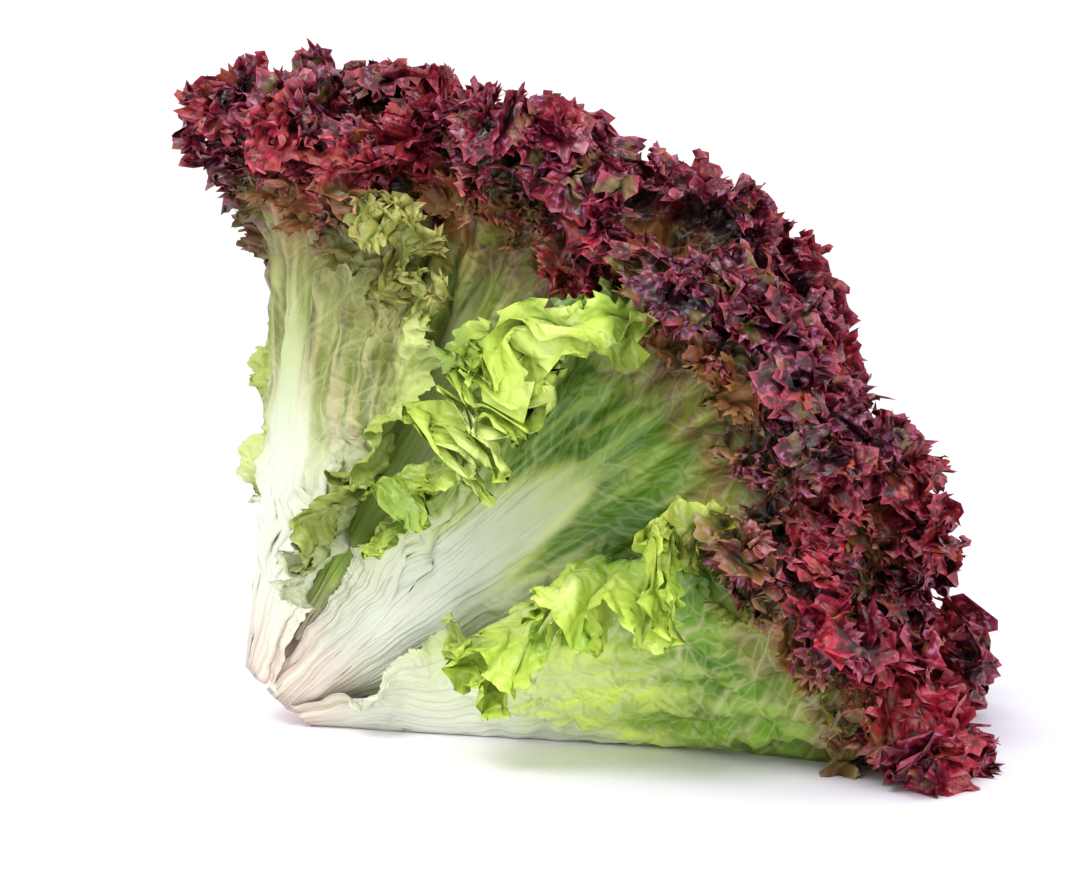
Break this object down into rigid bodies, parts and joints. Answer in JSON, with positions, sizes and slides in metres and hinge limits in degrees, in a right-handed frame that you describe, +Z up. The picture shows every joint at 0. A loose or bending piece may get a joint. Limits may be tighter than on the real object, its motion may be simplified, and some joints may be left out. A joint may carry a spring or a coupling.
{
  "type": "red frilly loose-leaf lettuce head",
  "caption": "Head of loose-leaf lettuce lying on its side: pale ribbed leaves fan out from a cut stem and end in a thick crust of dark red frills.",
  "frame": {"origin": "middle of the bounding box's underside, on the table", "axes": "+X from the cut stem's end towards the tips of the lowest leaves, +Y from the front to the back, +Z up. The head's own axis rises 48 degrees from +X towards +Z."},
  "size_m": [0.1738, 0.1634, 0.1472],
  "materials": {
    "stem": "moist pale cut stem",
    "outer_blade": "waxy pale green leaf with a near-white rib at its foot",
    "inner_blade": "waxy bright green leaf",
    "frill": "waxy dark red-purple frilled leaf margin"
  },
  "bodies": {
    "root": {"leaf_01": "outer_blade", "leaf_01_frill": "frill", "leaf_02": "outer_blade", "leaf_02_frill": "frill", "leaf_03": "outer_blade", "leaf_03_frill": "frill", "leaf_04": "outer_blade", "leaf_04_frill": "frill", "leaf_05": "outer_blade", "leaf_05_frill": "frill", "leaf_06": "outer_blade", "leaf_06_frill": "frill", "leaf_07": "outer_blade", "leaf_07_frill": "frill", "leaf_08": "outer_blade", "leaf_08_frill": "frill", "leaf_09": "outer_blade", "leaf_09_frill": "frill", "leaf_10": "outer_blade", "leaf_10_frill": "frill", "leaf_11": "outer_blade", "leaf_11_frill": "frill", "leaf_12": "outer_blade", "leaf_12_frill": "frill", "leaf_13": "inner_blade", "leaf_13_frill": "frill", "leaf_14": "inner_blade", "leaf_14_frill": "frill", "leaf_15": "inner_blade", "leaf_15_frill": "frill", "leaf_16": "inner_blade", "leaf_16_frill": "frill", "leaf_17": "inner_blade", "leaf_17_frill": "frill", "leaf_18": "inner_blade", "leaf_18_frill": "frill", "leaf_19": "inner_blade", "leaf_19_frill": "frill", "leaf_20": "inner_blade", "leaf_20_frill": "frill", "leaf_21": "inner_blade", "leaf_21_frill": "frill", "leaf_22": "inner_blade", "leaf_22_frill": "frill", "leaf_23": "inner_blade", "leaf_23_frill": "frill", "leaf_24": "inner_blade", "leaf_24_frill": "frill", "stem": "stem"}
  },
  "joints": []
}
